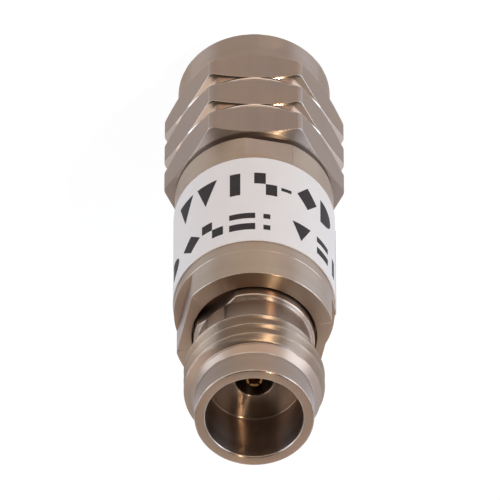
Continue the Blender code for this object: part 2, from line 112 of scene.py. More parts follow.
BODY = 7.88 * MM
BODY_RECESS = 6.12 * MM
BODY_RECESS_DEPTH = 0.76 * MM
BODY_BORE = 5.00 * MM
SHANK_SEAT = 6.04 * MM
SHANK_SEAT_DEPTH = 0.48 * MM
UPPER_ACROSS_FLATS = 7.00 * MM
UPPER_FLAT_LENGTH = 1.80 * MM
UPPER_FLAT_ANGLE = 167.0
LOWER_ACROSS_FLATS = 7.52 * MM
LOWER_FLAT_LENGTH = 1.35 * MM
LOWER_FLAT_ANGLE = 78.5

NUT_ACROSS_FLATS = 7.85 * MM
NUT_CORNERS = 8.94 * MM
NUT_TURN = -1.5
NUT_COLLAR = 7.60 * MM
NUT_COLLAR_LENGTH = 1.85 * MM
NUT_REAR_DIAMETER = 7.80 * MM
NUT_REAR_CHAMFER = 0.32 * MM
GROOVE_PITCH = 2.25 * MM
GROOVE_DEPTH = 0.65 * MM
GROOVE_STEEP = 0.31 * MM
GROOVE_GENTLE = 0.65 * MM

EDGE = 0.05 * MM
FINE_EDGE = 0.03 * MM

# %% [markdown]
# ## The camera
#
# The photograph looks down on the connector's open end, about 37 degrees off the part's own axis, and it is
# turned so that this end hangs at the bottom of the picture. Nearly parallel edges mean a long lens far
# away. The numbers below came from fitting the rings of the connector and the nut to the photograph. The
# part's axis leans about half a degree in it. This camera keeps the axis upright instead, and is only swung
# round it by the small angle.

# %% Camera at the photograph's angle to the axis
LENS_PER_FRAME = 24.737886
SENSOR = 36.0
VIEW_DISTANCE = 600.0 * MM
AXIS_TO_VIEW = math.radians(36.896)
SWING = math.radians(0.608)
FACE_OFFSET = (0.208 * MM, -8.154 * MM)
CLIP = (0.01, 20.0)


def swung(direction):
    """The direction swung a little round the part's axis."""
    return Matrix.Rotation(-SWING, 3, "Z") @ Vector(direction)


def add_camera():
    """A camera that looks down the part, placed by where the connector's face is seen."""
    into_scene = swung((0.0, math.sin(AXIS_TO_VIEW), -math.cos(AXIS_TO_VIEW)))
    picture_down = swung((0.0, math.cos(AXIS_TO_VIEW), math.sin(AXIS_TO_VIEW)))
    picture_left = swung((1.0, 0.0, 0.0))
    turn = Matrix((-picture_left, -picture_down, -into_scene))
    face_seen_at = Vector((*FACE_OFFSET, -VIEW_DISTANCE))
    place = turn.to_4x4()
    place.translation = face_seen_at - turn @ Vector((0.0, 0.0, FEMALE_FACE))
    data = bpy.data.cameras.new("photo_camera")
    data.sensor_width = SENSOR
    data.lens = LENS_PER_FRAME * SENSOR
    data.clip_start, data.clip_end = CLIP
    camera = bpy.data.objects.new("photo_camera", data)
    camera.matrix_world = place.inverted()
    bpy.context.scene.collection.objects.link(camera)
    bpy.context.scene.camera = camera
    return camera


camera = add_camera()
print("camera at mm:", [round(v / MM, 1) for v in camera.matrix_world.translation])

# %% [markdown]
# ## Turned shapes
#
# Every metal piece here came off a lathe, so each one starts as an outline of radius and height that is
# carried round the axis. Blender can do that with a Screw modifier or bmesh's spin. Here the rings are laid
# by hand instead, because three things have to be cut into the turned shape where the rings pass: wrench
# flats, a hexagon and a thread. A function that is asked for the radius at each point can do all three, and
# the quads stay tidy enough for clean reflections.
#
# A real edge is never sharp. Each corner of an outline is replaced with a short curve, which is what draws
# the thin bright lines along the rims.

# %% Outlines with rounded corners
TURN = math.tau
CURVE_STEPS = 4
MOST_OF_SIDE = 0.45


def rounded(outline, usual, steps=CURVE_STEPS):
    """A closed outline with each corner cut back and bridged by a small curve.

    A corner may name its own cut as a third number.
    """
    count = len(outline)
    result = []
    for here in range(count):
        before = Vector(outline[here - 1][:2])
        corner = Vector(outline[here][:2])
        after = Vector(outline[(here + 1) % count][:2])
        cut = outline[here][2] if len(outline[here]) > 2 else usual
        back = min(cut, (before - corner).length * MOST_OF_SIDE)
        ahead = min(cut, (after - corner).length * MOST_OF_SIDE)
        start = corner + (before - corner).normalized() * back
        end = corner + (after - corner).normalized() * ahead
        for step in range(steps + 1):
            way = step / steps
            point = start * (1 - way) ** 2 + corner * 2 * way * (1 - way) + end * way**2
            result.append((point.x, point.y, step not in (0, steps)))
    return result


def close_steps(points, widest, low=-1.0, high=1.0):
    """More points along the straight runs that lie between two heights, none wider apart than this."""
    count = len(points)
    result = []
    for here in range(count):
        radius, height, curved = points[here]
        next_radius, next_height, _ = points[(here + 1) % count]
        result.append((radius, height, curved))
        if min(height, next_height) < low or max(height, next_height) > high:
            continue
        gap = math.hypot(next_radius - radius, next_height - height)
        parts = max(1, math.ceil(gap / widest))
        for part in range(1, parts):
            way = part / parts
            between = (
                radius + (next_radius - radius) * way,
                height + (next_height - height) * way,
                False,
            )
            result.append(between)
    return result


# %% A mesh from an outline carried round the axis
SMOOTH_BELOW = math.radians(38.0)
TURNED, MILLED, SMOOTH, THREADED, SOFT, BORED = range(6)
FLAT_COLUMNS = (-0.03, -0.015, -0.006, 0.0, 0.006, 0.015, 0.03)


def angles_round(count, flats=()):
    """Even angles round the axis, with a few more where a flat's edges run."""
    angles = {step / count * TURN for step in range(count)}
    for middle, half in flats:
        for side in (middle, middle + math.pi):
            for edge in (side - half, side + half):
                for offset in FLAT_COLUMNS:
                    angles.add((edge + offset) % TURN)
    return sorted(angles)


def eased_min(first, second, width):
    """The smaller of two values, eased where they meet within this width."""
    if abs(first - second) >= width:
        return min(first, second)
    blend = (width - abs(first - second)) / width
    return min(first, second) - blend * blend * width / 4


FLAT_RIM = 0.1


def cut_by_flat(radius, flat, ease, rim=FLAT_RIM):
    """Radius where a turned surface meets a flat, how much of an edge that is, and whether it is flat."""
    return eased_min(radius, flat, ease), rim * (abs(radius - flat) < ease), radius > flat


def turned_mesh(name, points, angles_of, radius_of, finish_of=lambda radius, height: TURNED):
    """One closed mesh. angles_of(radius) and radius_of(angle, radius, height) shape each ring.

    Flats take the milled finish. Elsewhere finish_of(radius, height) names it.
    """
    work = bmesh.new()
    rim = work.verts.layers.float.new("rim")
    rings = []
    milled = set()
    for radius, height, curved in points:
        ring = []
        for angle in angles_of(radius):
            reach, cut_edge, on_flat = radius_of(angle, radius, height)
            corner = work.verts.new((reach * math.cos(angle), reach * math.sin(angle), height))
            corner[rim] = cut_edge if on_flat else max(float(curved), cut_edge)
            ring.append(corner)
            if on_flat:
                milled.add(corner)
        rings.append(ring)
    for here, below in enumerate(rings):
        following = (here + 1) % len(rings)
        above = rings[following]
        radius, height = ((points[here][axis] + points[following][axis]) / 2 for axis in (0, 1))
        usual = finish_of(radius, height)
        for step in range(len(below)):
            ahead = (step + 1) % len(below)
            corners = (below[step], below[ahead], above[ahead], above[step])
            face = work.faces.new(corners)
            face.material_index = MILLED if milled.issuperset(corners) else usual
    bmesh.ops.recalc_face_normals(work, faces=work.faces)
    return add_object(name, work)


def add_object(name, work):
    """Link an edited mesh as a smooth object whose flat faces keep their own direction."""
    mesh = bpy.data.meshes.new(name)
    work.to_mesh(mesh)
    work.free()
    mesh.shade_smooth()
    mesh.set_sharp_from_angle(angle=SMOOTH_BELOW)
    piece = bpy.data.objects.new(name, mesh)
    bpy.context.scene.collection.objects.link(piece)
    weigh = piece.modifiers.new("even_normals", "WEIGHTED_NORMAL")
    weigh.keep_sharp = True
    print(name, len(mesh.polygons), "faces")
    return piece


# %% [markdown]
# ## The thread
#
# An M7 thread with a pitch of 0.75 mm. The tool cuts a 60 degree groove that climbs one pitch for each turn,
# so the depth at a point depends on its height and on its angle. Where the cut is shallower than the blank,
# the blank shows: that gives the half-formed first turn on the tapered lead for nothing.

# %% Depth of the thread at a point
THREAD_SLOPE = math.tan(math.radians(60.0))
CREST_HALF_WIDTH = PITCH / 32
THREAD_EASE = 0.045 * MM


def crest_distance(angle, height, crest_height):
    """How far along the axis this point lies from the nearest turn's crest."""
    turns = (height - crest_height) / PITCH - angle / TURN
    return abs(turns - round(turns)) * PITCH


def thread_radius(angle, height, crest_height, crest, root):
    """Radius of an outside thread, with its crest and root eased."""
    fall = max(0.0, crest_distance(angle, height, crest_height) - CREST_HALF_WIDTH) * THREAD_SLOPE
    cut = eased_min(crest / 2, crest / 2 + THREAD_EASE / 4 - fall, THREAD_EASE)
    return -eased_min(-cut, -root / 2, THREAD_EASE)


# %% [markdown]
# ## Female connector
#
# The nose that the other connector screws onto: a smooth pilot, a taper, three turns of thread, an undercut
# for the thread to run out in, and a collar with two flats by which it was screwed into the body. The deep
# counterbore and the small hole in its floor are part of the same outline.

# %% Female connector's outline and mesh
ROUND_STEPS = 192
FLAT_EASE = 0.03 * MM
LEAST_FACING = 0.3


def flat_limit(angle, middle, across):
    """Radius of a pair of flats at this angle, or a very large one beside them."""
    towards = abs(math.cos(angle - middle))
    return across / 2 / towards if towards > LEAST_FACING else across


def female_outline():
    collar_top = BODY_TOP + COLLAR_REACH
    collar_bottom = BODY_TOP - BODY_RECESS_DEPTH
    thread_top = FEMALE_FACE - NOSE_PILOT_LENGTH
    thread_bottom = thread_top - NOSE_THREAD_LENGTH
    floor = FEMALE_FACE - COUNTERBORE_DEPTH
    runout = (NOSE_THREAD - NOSE_UNDERCUT) / 4
    return [
        (TAIL / 2, FEMALE_TAIL),
        (TAIL / 2, collar_bottom),
        (COLLAR / 2, collar_bottom),
        (COLLAR / 2, collar_top - COLLAR_CHAMFER[1]),
        (COLLAR / 2 - COLLAR_CHAMFER[0], collar_top, COLLAR_CORNER),
        (NOSE_UNDERCUT / 2, collar_top),
        (NOSE_UNDERCUT / 2, thread_bottom - runout),
        (NOSE_THREAD / 2, thread_bottom),
        (NOSE_THREAD / 2, thread_top - NOSE_LEAD),
        (NOSE_PILOT / 2, thread_top),
        (NOSE_PILOT / 2, FEMALE_FACE, FACE_EDGE),
        (COUNTERBORE / 2, FEMALE_FACE, FACE_EDGE),
        (COUNTERBORE / 2, floor),
        (LINE_BORE / 2, floor),
        (LINE_BORE / 2, bead_high.z),
        (BEAD_POCKET / 2, bead_high.z),
        (BEAD_POCKET / 2, FEMALE_TAIL),
    ]


def female_connector():
    flat_middle = math.radians(COLLAR_FLAT_ANGLE)
    flat_half = math.acos(COLLAR_ACROSS_FLATS / COLLAR)
    angles = angles_round(ROUND_STEPS, [(flat_middle, flat_half)])
    thread_top = FEMALE_FACE - NOSE_PILOT_LENGTH
    thread_bottom = thread_top - NOSE_THREAD_LENGTH - 3 * EDGE
    collar_top = BODY_TOP + COLLAR_REACH
    flat_bottom = BODY_TOP - BODY_RECESS_DEPTH - EDGE
    first_crest = FEMALE_FACE - NOSE_CREST_DEPTH

    def radius_of(angle, radius, height):
        if radius > COUNTERBORE / 2 + EDGE and thread_bottom < height < thread_top:
            cut = thread_radius(angle, height, first_crest, NOSE_THREAD, NOSE_THREAD_ROOT)
            return eased_min(radius, cut, THREAD_EASE), 0.0, False
        if radius > TAIL / 2 + EDGE and flat_bottom < height < collar_top + EDGE:
            return cut_by_flat(radius, flat_limit(angle, flat_middle, COLLAR_ACROSS_FLATS), FLAT_EASE)
        return radius, 0.0, False

    def finish_of(radius, height):
        if radius < COUNTERBORE / 2 + EDGE:
            return BORED
        if height < thread_bottom or height > thread_top:
            return SMOOTH
        return SOFT if height > thread_top - NOSE_LEAD else THREADED

    points = rounded(female_outline(), EDGE)
    points = close_steps(points, PITCH / 20, thread_bottom, thread_top)
    return turned_mesh("female_connector", points, lambda radius: angles, radius_of, finish_of)


connector = female_connector()

# %% [markdown]
# ## Body sleeve
#
# A plain sleeve with a recess round the connector's collar, a fine scribed line beside the label and two
# pairs of wrench flats, one at each end. A flat ends in a small square step, so the outline has two rings
# at nearly the same height there: one that is cut and one that isn't.

# %% Body sleeve's outline and mesh
SCRIBED_WIDTH = 0.05 * MM
SCRIBED_DEPTH = 0.02 * MM
STEP_GAP = 0.004 * MM


def body_outline():
    line = BODY_TOP - UPPER_FLAT_LENGTH
    flat_end = BODY_BOTTOM + LOWER_FLAT_LENGTH
    recess_floor = BODY_TOP - BODY_RECESS_DEPTH
    seat_top = BODY_BOTTOM + SHANK_SEAT_DEPTH
    outer = BODY / 2
    curved = rounded(
        [
            (outer, BODY_BOTTOM),
            (outer, BODY_TOP),
            (BODY_RECESS / 2, BODY_TOP),
            (BODY_RECESS / 2, recess_floor),
            (BODY_BORE / 2, recess_floor),
            (BODY_BORE / 2, seat_top),
            (SHANK_SEAT / 2, seat_top),
            (SHANK_SEAT / 2, BODY_BOTTOM),
        ],
        EDGE,
    )
    side = [
        (outer, flat_end - STEP_GAP, False),
        (outer, flat_end + STEP_GAP, False),
        (outer, line - STEP_GAP - SCRIBED_WIDTH, False),
        (outer - SCRIBED_DEPTH, line - STEP_GAP - SCRIBED_WIDTH / 2, True),
        (outer, line - STEP_GAP, False),
        (outer, line + STEP_GAP, False),
    ]
    first_side = CURVE_STEPS + 1
    return curved[:first_side] + side + curved[first_side:]


def body_sleeve():
    pairs = (
        (math.radians(UPPER_FLAT_ANGLE), UPPER_ACROSS_FLATS, BODY_TOP - UPPER_FLAT_LENGTH, 1.0),
        (math.radians(LOWER_FLAT_ANGLE), LOWER_ACROSS_FLATS, BODY_BOTTOM + LOWER_FLAT_LENGTH, -1.0),
    )
    flats = [(middle, math.acos(across / BODY)) for middle, across, _, _ in pairs]
    angles = angles_round(ROUND_STEPS, flats)

    def radius_of(angle, radius, height):
        for middle, across, end, side in pairs:
            if radius > BODY_RECESS / 2 + EDGE and (height - end) * side > 0.0:
                return cut_by_flat(radius, flat_limit(angle, middle, across), FLAT_EASE)
        return radius, 0.0, False

    return turned_mesh("body_sleeve", body_outline(), lambda radius: angles, radius_of)


sleeve = body_sleeve()

# %% [markdown]
# ## Coupling nut
#
# The nut is the piece that takes the most skill on the machine and here. A hexagon bar was turned so that
# its corners are round, two V-grooves were cut with one steep and one gentle side, and both ends were
# chamfered. Where a cone meets a flat, the edge is a hyperbola.
#
# A boolean cut would give those curves as ragged steps. Instead the columns of the mesh follow them: for a
# ring of any radius, the angle at which the ring leaves the flat is known, and one column runs exactly
# there.

# %% Columns that follow the hexagon's edges
SIXTH = TURN / 6
HALF_SIDE = SIXTH / 2
FLAT_SHARES = (0.0, 0.25, 0.5, 0.7, 0.85)
EDGE_OFFSETS = (0.016, 0.008)
ARC_SHARES = (0.3, 0.5, 0.7, 0.85)
OFFSETS_NEED = 0.06
LEAST_FLAT = math.radians(2.0)
NUT_EASE = 0.035 * MM
GROOVE_EASE = 0.09 * MM


def half_side(flat_half):
    """Angles from a flat's middle to the hexagon's corner, closest together at the flat's edge."""
    near = min(1.0, flat_half / OFFSETS_NEED)
    far = min(1.0, (HALF_SIDE - flat_half) / OFFSETS_NEED)
    inner = flat_half - EDGE_OFFSETS[0] * near
    outer = flat_half + EDGE_OFFSETS[0] * far
    angles = [inner * share for share in FLAT_SHARES]
    angles += [flat_half - offset * near for offset in EDGE_OFFSETS]
    angles.append(flat_half)
    angles += [flat_half + offset * far for offset in reversed(EDGE_OFFSETS)]
    angles += [outer + (HALF_SIDE - outer) * share for share in ARC_SHARES]
    angles.append(HALF_SIDE)
    return angles


def hexagon_angles(radius):
    """Angles round one ring of the nut."""
    reach = NUT_ACROSS_FLATS / 2 / radius
    flat_half = max(LEAST_FLAT, math.acos(reach) if reach < 1.0 else 0.0)
    half = half_side(flat_half)
    side = [-angle for angle in reversed(half[1:-1])] + half
    first_flat = math.radians(NUT_TURN) + HALF_SIDE
    return [first_flat + SIXTH * number + angle for number in range(6) for angle in side]


def even_angles(count):
    return [step / count * TURN for step in range(count)]


# %% Coupling nut's outline and mesh
NUT_THREAD_MINOR = 6.19 * MM
NUT_THREAD_MAJOR = 7.00 * MM
NUT_THREAD_LENGTH = 4.00 * MM
NUT_RELIEF_LENGTH = 0.70 * MM
NUT_LAND = 6.12 * MM
RING_GROOVE = 6.96 * MM
RING_SETBACK = 1.72 * MM
RING_GROOVE_WIDTH = 0.58 * MM
HEXAGON_STEP = math.radians(2.5)
GROOVE_NOSE = 0.13 * MM
NEAR_FLATS = 0.95


def nut_outside():
    corner = NUT_CORNERS / 2
    collar = NUT_COLLAR / 2
    outline = [
        (collar, 0.0),
        (collar, NUT_COLLAR_LENGTH),
        (corner, NUT_COLLAR_LENGTH + corner - collar),
    ]
    for groove in (2, 1):
        floor = NUT_REAR - groove * GROOVE_PITCH
        outline += [
            (corner, floor - GROOVE_STEEP),
            (corner - GROOVE_DEPTH, floor, GROOVE_NOSE),
            (corner, floor + GROOVE_GENTLE),
        ]
    return outline + [(corner, NUT_REAR - NUT_REAR_CHAMFER), (NUT_REAR_DIAMETER / 2, NUT_REAR)]


def nut_inside():
    land = NUT_LAND / 2
    groove = RING_GROOVE / 2
    minor = NUT_THREAD_MINOR / 2
    major = NUT_THREAD_MAJOR / 2
    groove_bottom = NUT_REAR - RING_SETBACK
    groove_top = groove_bottom + RING_GROOVE_WIDTH
    relief_top = NUT_THREAD_LENGTH + NUT_RELIEF_LENGTH
    return [
        (land, NUT_REAR),
        (land, groove_top),
        (groove, groove_top),
        (groove, groove_bottom),
        (land, groove_bottom),
        (land, relief_top),
        (major, relief_top),
        (major, NUT_THREAD_LENGTH),
        (minor, NUT_THREAD_LENGTH - (major - minor)),
        (minor, major - minor),
        (major, 0.0),
    ]


def follow_hexagon(points):
    """More rings on the cones, spaced evenly along the curves where they cross the flats."""
    across = NUT_ACROSS_FLATS / 2
    result = []
    for here, (radius, height, curved) in enumerate(points):
        result.append((radius, height, curved))
        next_radius, next_height, _ = points[(here + 1) % len(points)]
        if min(radius, next_radius) < across * NEAR_FLATS or radius == next_radius:
            continue
        start = math.acos(min(1.0, across / radius))
        end = math.acos(min(1.0, across / next_radius))
        parts = max(1, math.ceil(abs(end - start) / HEXAGON_STEP))
        for part in range(1, parts):
            reach = across / math.cos(start + (end - start) * part / parts)
            way = (reach - radius) / (next_radius - radius)
            result.append((reach, height + (next_height - height) * way, False))
    return result


def coupling_nut():
    outside = len(nut_outside()) * (CURVE_STEPS + 1)
    points = rounded(nut_outside() + nut_inside(), EDGE)
    outer = follow_hexagon(points[:outside])
    thread_end = NUT_THREAD_LENGTH - (NUT_THREAD_MAJOR - NUT_THREAD_MINOR) / 2
    inner = close_steps(points[outside:], PITCH / 12, 0.0, thread_end)
    ring_size = len(hexagon_angles(NUT_CORNERS / 2))
    across = NUT_ACROSS_FLATS / 2
    floors = [NUT_REAR - groove * GROOVE_PITCH for groove in (1, 2)]
    inside = NUT_THREAD_MAJOR / 2 + EDGE

    def angles_of(radius):
        return hexagon_angles(radius) if radius > inside else even_angles(ring_size)

    def radius_of(angle, radius, height):
        if radius > inside:
            from_flat = (angle - math.radians(NUT_TURN)) % SIXTH - HALF_SIDE
            flat = across / math.cos(from_flat)
            if any(0.0 < height - floor < GROOVE_GENTLE for floor in floors):
                # The flats' edges in the grooves take the full rim, so they get the brighter rim colour:
                # partly wear, partly a painted highlight.
                return cut_by_flat(radius, flat, GROOVE_EASE, 1.0)
            return cut_by_flat(radius, flat, NUT_EASE, 0.0)
        if height < thread_end and radius < NUT_THREAD_MAJOR / 2:
            middle = (NUT_THREAD_MINOR + NUT_THREAD_MAJOR) / 2
            cut = middle - thread_radius(angle, height, 0.0, NUT_THREAD_MAJOR, NUT_THREAD_MINOR)
            return max(radius, cut), 0.0, False
        return radius, 0.0, False

    def finish_of(radius, height):
        in_groove = any(-GROOVE_STEEP < height - floor < GROOVE_GENTLE for floor in floors)
        return SMOOTH if in_groove and inside < radius < NUT_CORNERS / 2 - EDGE / 2 else TURNED

    return turned_mesh("coupling_nut_turned", outer + inner, angles_of, radius_of, finish_of)


nut = coupling_nut()

# %% [markdown]
# ## Male connector
#
# Little of it shows: its end, deep in the nut and from below, and a sliver of its shank between the nut and
# the body. It is a plain turned plug and shank with a groove for the ring that holds the nut, so its outline
# can go straight through the same function with nothing cut.

# %% Male connector's outline and mesh
PLUG = 4.75 * MM
PLUG_LENGTH = 3.60 * MM
SHANK = 6.00 * MM
SHANK_TOP = BODY_BOTTOM + SHANK_SEAT_DEPTH - 0.02 * MM
SHANK_GROOVE = 5.00 * MM
SHANK_GROOVE_SPAN = (6.28 * MM, 7.22 * MM)


def male_connector():
    shoulder = male_low.z + PLUG_LENGTH
    groove_bottom, groove_top = SHANK_GROOVE_SPAN
    outline = [
        (LINE_BORE / 2, male_low.z),
        (PLUG / 2, male_low.z),
        (PLUG / 2, shoulder),
        (SHANK / 2, shoulder),
        (SHANK / 2, groove_bottom),
        (SHANK_GROOVE / 2, groove_bottom),
        (SHANK_GROOVE / 2, groove_top),
        (SHANK / 2, groove_top),
        (SHANK / 2, SHANK_TOP),
        (TAIL / 2, SHANK_TOP),
        (TAIL / 2, male_high.z),
        (BEAD_POCKET / 2, male_high.z),
        (BEAD_POCKET / 2, male_bead_low.z),
        (LINE_BORE / 2, male_bead_low.z),
    ]
    angles = even_angles(ROUND_STEPS)
    return turned_mesh(
        "male_connector",
        rounded(outline, FINE_EDGE),
        lambda radius: angles,
        lambda angle, radius, height: (radius, 0.0, False),
    )


plug = male_connector()

# %% [markdown]
# ## The wrap label
#
# A strip of white film goes once round the body and its ends stop just short of each other on the right of
# the picture. The last 0.7 mm have let go a little, as such labels do. The strip is one closed ribbon: four
# corners at each angle, joined round, with a cap on each end.

# %% Film ribbon
LABEL_INNER = BODY / 2 + 0.008 * MM
LABEL_OUTER = label_high.x
LABEL_SEAM = 0.25 * MM
LABEL_SEAM_ANGLE = math.radians(174.0)
LIFTED_LENGTH = 0.7 * MM
LIFT = 0.07 * MM
LABEL_STEPS = 256


def film_radius(turned_by, total, radius):
    """Radius of the film, which rises a little just before its far end."""
    left = (total - turned_by) * radius
    rise = max(0.0, 1.0 - left / LIFTED_LENGTH)
    return radius + LIFT * rise**2


def wrap_label():
    gap = LABEL_SEAM / LABEL_OUTER
    total = TURN - gap
    work = bmesh.new()
    loops = []
    for step in range(LABEL_STEPS + 1):
        turned_by = total * step / LABEL_STEPS
        angle = LABEL_SEAM_ANGLE + gap / 2 + turned_by
        inner = film_radius(turned_by, total, LABEL_INNER)
        outer = film_radius(turned_by, total, LABEL_OUTER)
        corners = ((inner, label_low.z), (outer, label_low.z), (outer, label_high.z), (inner, label_high.z))
        loops.append([work.verts.new((r * math.cos(angle), r * math.sin(angle), z)) for r, z in corners])
    for here, ahead in zip(loops, loops[1:]):
        for corner in range(4):
            following = (corner + 1) % 4
            work.faces.new((here[corner], ahead[corner], ahead[following], here[following]))
    work.faces.new(loops[0])
    work.faces.new(loops[-1])
    bmesh.ops.recalc_face_normals(work, faces=work.faces)
    return add_object("wrap_label_film", work)


film = wrap_label()

# %% [markdown]
# ## Print on the label
#
# Two rows of bold print give the label its look. What they say belongs to one maker, so here they are plain
# shapes of the same weight and rhythm: wedges, bars, diamonds, squares and half discs.
#
# Print has to follow the curve closely or it floats. Each shape is drawn flat, sliced into narrow strips,
# given a few thousandths of a millimetre of body and then bent round the cylinder.

# %% Shapes on a unit square
def box_shape(left, top, right, bottom):
    return [(left, top), (right, top), (right, bottom), (left, bottom)]


def half_disc(steps=16):
    turns = [math.pi * step / steps for step in range(steps + 1)]
    return [(math.sin(turn), 0.5 - math.cos(turn) / 2) for turn in turns]


SHAPES = {
    "wedge": [[(0.0, 0.0), (1.0, 0.0), (0.45, 1.0)]],
    "bars": [box_shape(0.0, 0.0, 1.0, 0.32), box_shape(0.0, 0.62, 1.0, 1.0)],
    "column": [box_shape(0.3, 0.0, 0.85, 1.0)],
    "diamond": [[(0.5, 0.0), (1.0, 0.5), (0.5, 1.0), (0.0, 0.5)]],
    "chequer": [box_shape(0.0, 0.0, 0.5, 0.5), box_shape(0.5, 0.5, 1.0, 1.0)],
    "block": [box_shape(0.0, 0.0, 1.0, 1.0)],
    "half disc": [half_disc()],
}

# Each row: its two heights above the label's lower edge, then its shapes with the arc that each one spans.
PRINT_ROWS = (
    (
        (1.25 * MM, 3.02 * MM),
        (
            ("wedge", -4.51, -3.35),
            ("wedge", -3.06, -1.86),
            ("column", -1.47, -0.50),
            ("chequer", 0.04, 1.19),
            ("diamond", 2.28, 3.55),
            ("half disc", 3.85, 4.90),
        ),
    ),
    ((2.20 * MM, 2.45 * MM), (("block", 1.40, 1.95),)),
    (
        (4.55 * MM, 5.90 * MM),
        (
            ("half disc", -5.55, -4.64),
            ("diamond", -4.15, -2.87),
            ("chequer", -2.74, -1.53),
            ("bars", -1.21, 0.09),
            ("wedge", 2.00, 3.10),
            ("bars", 3.55, 4.55),
            ("column", 4.90, 5.60),
        ),
    ),
    ((4.60 * MM, 4.98 * MM), (("block", 0.49, 0.84),)),
    ((5.50 * MM, 5.88 * MM), (("block", 0.49, 0.84),)),
)

# %% Ink bent round the label
INK_BELOW = 0.002 * MM
INK_ABOVE = 0.003 * MM
STRIP = 0.1 * MM
PRINT_MIDDLE = math.radians(-90.0)


def wrap_on_label(corner):
    """Bend a point drawn flat (along the arc, up the axis, out of the film) round the label."""
    reach = LABEL_OUTER + corner.z
    angle = PRINT_MIDDLE - corner.x / LABEL_OUTER
    return Vector((reach * math.cos(angle), reach * math.sin(angle), corner.y))


def print_on_label():
    work = bmesh.new()
    for (top, bottom), cells in PRINT_ROWS:
        for shape, left, right in cells:
            for outline in SHAPES[shape]:
                corners = []
                for across, down in outline:
                    along = (left + (right - left) * across) * MM
                    height = label_low.z + top + (bottom - top) * down
                    corners.append(work.verts.new((along, height, -INK_BELOW)))
                work.faces.new(corners)
    half_arc = math.pi * LABEL_OUTER
    for strip in range(1, int(2 * half_arc / STRIP)):
        cut = Vector((strip * STRIP - half_arc, 0.0, 0.0))
        parts = work.verts[:] + work.edges[:] + work.faces[:]
        bmesh.ops.bisect_plane(work, geom=parts, plane_co=cut, plane_no=(1.0, 0.0, 0.0))
    lifted = bmesh.ops.extrude_face_region(work, geom=work.faces[:], use_keep_orig=True)
    for part in lifted["geom"]:
        if isinstance(part, bmesh.types.BMVert):
            part.co.z = INK_ABOVE
    for corner in work.verts:
        corner.co = wrap_on_label(corner.co)
    bmesh.ops.recalc_face_normals(work, faces=work.faces)
    return add_object("label_print", work)


ink = print_on_label()

# %% [markdown]
# ## Finishes as shared effects
#
# The same few things happen to every metal surface: a tool leaves fine marks that run its way, edges rub
# bright, and handling leaves faint stains. The bright rims are partly that wear and partly a painted
# highlight. Each is a node group here, so that a material only says how much it wants. A group gives back
# plain masks, values and heights. The shader itself stays in the material.

# %% Helpers for building node trees
def put(tree, kind, inputs=(), **options):
    """Add a node, set its options, and fill its inputs with values or with other nodes' outputs."""
    made = tree.nodes.new(kind)
    for name, value in options.items():
        setattr(made, name, value)
    for name, value in dict(inputs).items():
        if isinstance(value, bpy.types.NodeSocket):
            tree.links.new(value, made.inputs[name])
        else:
            made.inputs[name].default_value = value
    return made


def new_effect(name, inputs, outputs):
    """An empty node group with number inputs and number outputs."""
    tree = bpy.data.node_groups.new(name, "ShaderNodeTree")
    for label, value in inputs.items():
        socket = tree.interface.new_socket(label, in_out="INPUT", socket_type="NodeSocketFloat")
        socket.default_value = value
    for label in outputs:
        tree.interface.new_socket(label, in_out="OUTPUT", socket_type="NodeSocketFloat")
    return tree, tree.nodes.new("NodeGroupInput").outputs, tree.nodes.new("NodeGroupOutput").inputs


def use_effect(tree, effect, **amounts):
    """One use of a shared effect, with its amounts set."""
    made = tree.nodes.new("ShaderNodeGroup")
    made.node_tree = effect
    for label, value in amounts.items():
        made.inputs[label.replace("_", " ").capitalize()].default_value = value
    return made.outputs


def maths(tree, operation, *values):
    return put(tree, "ShaderNodeMath", dict(enumerate(values)), operation=operation).outputs[0]


def vector_maths(tree, operation, *values, give=0):
    return put(tree, "ShaderNodeVectorMath", dict(enumerate(values)), operation=operation).outputs[give]


def object_place(tree):
    return put(tree, "ShaderNodeTexCoord").outputs["Object"]


def noise(tree, place, per_metre, detail):
    amounts = {"Vector": place, "Scale": per_metre, "Detail": detail}
    return put(tree, "ShaderNodeTexNoise", amounts).outputs["Fac"]


def spread(tree, value, low, high, first=0.0, last=1.0):
    """A value between low and high carried onto first to last, and held at the ends."""
    limits = {"Value": value, "From Min": low, "From Max": high, "To Min": first, "To Max": last}
    return put(tree, "ShaderNodeMapRange", limits).outputs["Result"]


# %% Turned marks and milled grain
ACROSS = (1.0, 1.0, 0.0)
UP_THE_PART = (1.0, 1.0, 0.04)
BROAD_SHARE = 0.12


def round_the_axis(tree, place):
    """Distance from the axis and height, and never the angle, so that marks become rings."""
    height = put(tree, "ShaderNodeSeparateXYZ", {"Vector": place}).outputs["Z"]
    level = vector_maths(tree, "MULTIPLY", place, ACROSS)
    radius = vector_maths(tree, "LENGTH", level, give="Value")
    return put(tree, "ShaderNodeCombineXYZ", {"X": radius, "Y": height}).outputs[0]


def drawn_along(tree, place):
    """Heights drawn together, so that marks become long scratches up the part."""
    return vector_maths(tree, "MULTIPLY", place, UP_THE_PART)


def tool_marks_effect(name, per_metre, lay_out):
    """Fine marks as a height and broad ones as a tone. lay_out says which way they run."""
    tree, given, result = new_effect(name, {"Per metre": per_metre}, ("Height", "Tone"))
    laid = lay_out(tree, object_place(tree))
    broad = maths(tree, "MULTIPLY", given["Per metre"], BROAD_SHARE)
    tree.links.new(noise(tree, laid, given["Per metre"], 3.0), result["Height"])
    tree.links.new(noise(tree, laid, broad, 4.0), result["Tone"])
    return tree


turned_marks = tool_marks_effect("turned_marks", 9000.0, round_the_axis)
milled_grain = tool_marks_effect("milled_grain", 12000.0, drawn_along)
